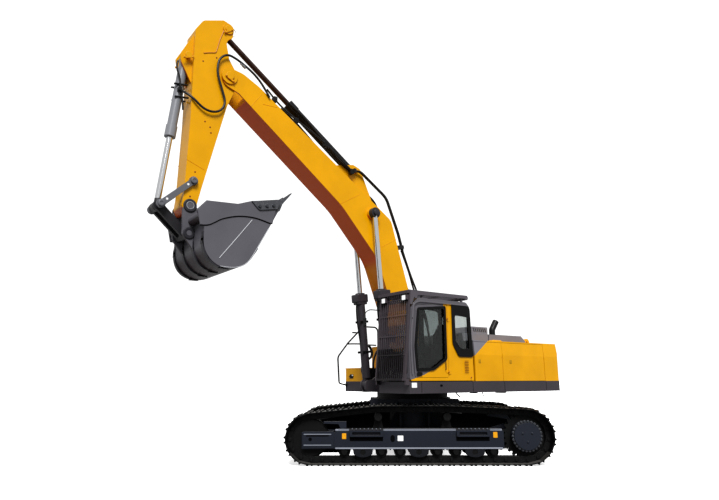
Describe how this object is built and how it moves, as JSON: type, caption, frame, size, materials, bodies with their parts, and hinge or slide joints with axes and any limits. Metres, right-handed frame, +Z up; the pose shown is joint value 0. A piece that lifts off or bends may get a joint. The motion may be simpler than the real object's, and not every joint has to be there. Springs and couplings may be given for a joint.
{
  "type": "crawler excavator",
  "caption": "Yellow crawler excavator with a caged cab, one-piece boom raised, short arm and curled rock bucket, standing on long dark tracks turned beneath its upper structure.",
  "frame": {"origin": "on the slewing axis at ground level", "axes": "+X is the way that the cab and boom face, +Y is the machine's left (the cab's side), +Z is up; the undercarriage rests turned 36.5 degrees clockwise under the upper structure"},
  "size_m": [9.831, 5.8998, 8.8267],
  "materials": {
    "yellow paint": "gloss",
    "charcoal paint": "satin",
    "grey paint": "satin",
    "dark frame paint": "satin",
    "track steel": "matte",
    "engine iron": "matte",
    "bucket steel": "satin",
    "cylinder paint": "satin",
    "rod chrome": "polished",
    "window glass": "clear",
    "seat fabric": "woven",
    "hose rubber": "satin",
    "cab plastic": "matte"
  },
  "bodies": {
    "undercarriage": {"carbody": "dark frame paint", "track_frames": "dark frame paint", "track_loop_left": "track steel", "track_loop_right": "track steel", "idlers": "track steel", "sprockets": "track steel", "final_drives": "dark frame paint", "bottom_rollers": "track steel", "carrier_rollers": "track steel", "roller_guards": "dark frame paint"},
    "upper": {"deck": "charcoal paint", "slew_ring": "charcoal paint", "counterweight": "yellow paint", "engine": "engine iron", "engine_house": "yellow paint", "tanks": "yellow paint", "toolbox": "yellow paint", "cab_shell": "yellow paint", "cab_glass": "window glass", "seat": "seat fabric", "consoles": "cab plastic", "cab_guard": "charcoal paint", "roof_guard": "charcoal paint", "handrails": "charcoal paint"},
    "cab_door": {"cab_door": "yellow paint", "door_glass": "window glass"},
    "left_front_door": {"left_front_door": "yellow paint"},
    "left_rear_door": {"left_rear_door": "yellow paint"},
    "pump_door": {"pump_door": "yellow paint"},
    "engine_hood": {"engine_hood": "grey paint", "exhaust": "charcoal paint"},
    "toolbox_lid": {"toolbox_lid": "yellow paint"},
    "boom": {"boom": "yellow paint", "boom_hoses": "hose rubber"},
    "boom_barrels": {"boom_cylinder_barrels": "cylinder paint"},
    "boom_rods": {"boom_cylinder_rods": "rod chrome"},
    "arm": {"arm": "yellow paint"},
    "arm_barrel": {"arm_cylinder_barrel": "cylinder paint"},
    "arm_rod": {"arm_cylinder_rod": "rod chrome"},
    "bucket": {"bucket": "bucket steel", "bucket_teeth": "bucket steel"},
    "side_links": {"side_links": "bucket steel"},
    "h_link": {"h_link": "bucket steel"},
    "bucket_barrel": {"bucket_cylinder_barrel": "cylinder paint"},
    "bucket_rod": {"bucket_cylinder_rod": "rod chrome"}
  },
  "joints": [
    {"name": "slew", "type": "hinge", "parent": "undercarriage", "child": "upper", "pos_m": [0, 0, 1.3], "axis": [0, 0, 1], "continuous": true},
    {"name": "boom_lift", "type": "hinge", "parent": "upper", "child": "boom", "pos_m": [0.18, 0, 2.25], "axis": [0, -1, 0], "range_deg": [-82, 3]},
    {"name": "boom_barrels_swing", "type": "hinge", "parent": "upper", "child": "boom_barrels", "pos_m": [0.987, 0, 1.554], "axis": [0, -1, 0], "range_deg": [-85.21, 3.16]},
    {"name": "boom_rods_stroke", "type": "slide", "parent": "boom_barrels", "child": "boom_rods", "axis": [0.0907, 0, 0.9959], "range_m": [-1.38982, 0.05164]},
    {"name": "arm_swing", "type": "hinge", "parent": "boom", "child": "arm", "pos_m": [4.86, 0, 7.61], "axis": [0, 1, 0], "range_deg": [-88, 8]},
    {"name": "arm_barrel_swing", "type": "hinge", "parent": "boom", "child": "arm_barrel", "pos_m": [1.68, 0, 6.31], "axis": [0, 1, 0], "range_deg": [-0.25, 2.74]},
    {"name": "arm_rod_stroke", "type": "slide", "parent": "arm_barrel", "child": "arm_rod", "axis": [0.8095, 0, 0.5871], "range_m": [-1.45489, 0.13307]},
    {"name": "bucket_curl", "type": "hinge", "parent": "arm", "child": "bucket", "pos_m": [5.51, 0, 4.8], "axis": [0, -1, 0], "range_deg": [-4, 145]},
    {"name": "side_links_swing", "type": "hinge", "parent": "arm", "child": "side_links", "pos_m": [5.46, 0, 5.295], "axis": [0, -1, 0], "range_deg": [-2.75, 98.05]},
    {"name": "h_link_swing", "type": "hinge", "parent": "bucket", "child": "h_link", "pos_m": [5.5, 0, 4.28], "axis": [0, -1, 0], "range_deg": [-104.65, 2.94]},
    {"name": "bucket_barrel_swing", "type": "hinge", "parent": "arm", "child": "bucket_barrel", "pos_m": [5.69, 0, 7.83], "axis": [0, -1, 0], "range_deg": [-0.00572, 0.2002]},
    {"name": "bucket_rod_stroke", "type": "slide", "parent": "bucket_barrel", "child": "bucket_rod", "axis": [0.1103, 0, -0.9939], "range_m": [-1.1757, 0.03312]},
    {"name": "cab_door_hinge", "type": "hinge", "parent": "upper", "child": "cab_door", "pos_m": [0.254, 1.494, 2.4], "axis": [0, 0, 1], "range_deg": [0, 160]},
    {"name": "left_front_door_hinge", "type": "hinge", "parent": "upper", "child": "left_front_door", "pos_m": [-1.386, 1.488, 2.05], "axis": [0, 0, 1], "range_deg": [0, 100]},
    {"name": "left_rear_door_hinge", "type": "hinge", "parent": "upper", "child": "left_rear_door", "pos_m": [-2.846, 1.488, 2.05], "axis": [0, 0, 1], "range_deg": [0, 100]},
    {"name": "pump_door_hinge", "type": "hinge", "parent": "upper", "child": "pump_door", "pos_m": [-2.846, -1.488, 2.05], "axis": [0, 0, -1], "range_deg": [0, 100]},
    {"name": "engine_hood_hinge", "type": "hinge", "parent": "upper", "child": "engine_hood", "pos_m": [-1.481, 0, 2.676], "axis": [0, 1, 0], "range_deg": [0, 50]},
    {"name": "toolbox_lid_hinge", "type": "hinge", "parent": "upper", "child": "toolbox_lid", "pos_m": [0.0625, -1.0625, 1.9225], "axis": [0, -1, 0], "range_deg": [0, 85]}
  ],
  "couplings": [
    {"joint": "boom_barrels_swing", "follows": "boom_lift", "ratio": 1.0387},
    {"joint": "boom_rods_stroke", "follows": "boom_lift", "m_per_rad": 0.97054},
    {"joint": "arm_barrel_swing", "follows": "arm_swing", "ratio": -0.031136},
    {"joint": "arm_rod_stroke", "follows": "arm_swing", "m_per_rad": 0.94668},
    {"joint": "side_links_swing", "follows": "bucket_curl", "ratio": 0.67586},
    {"joint": "h_link_swing", "follows": "bucket_curl", "ratio": -0.72138},
    {"joint": "bucket_barrel_swing", "follows": "bucket_curl", "ratio": 0.001379},
    {"joint": "bucket_rod_stroke", "follows": "bucket_curl", "m_per_rad": -0.46429}
  ]
}
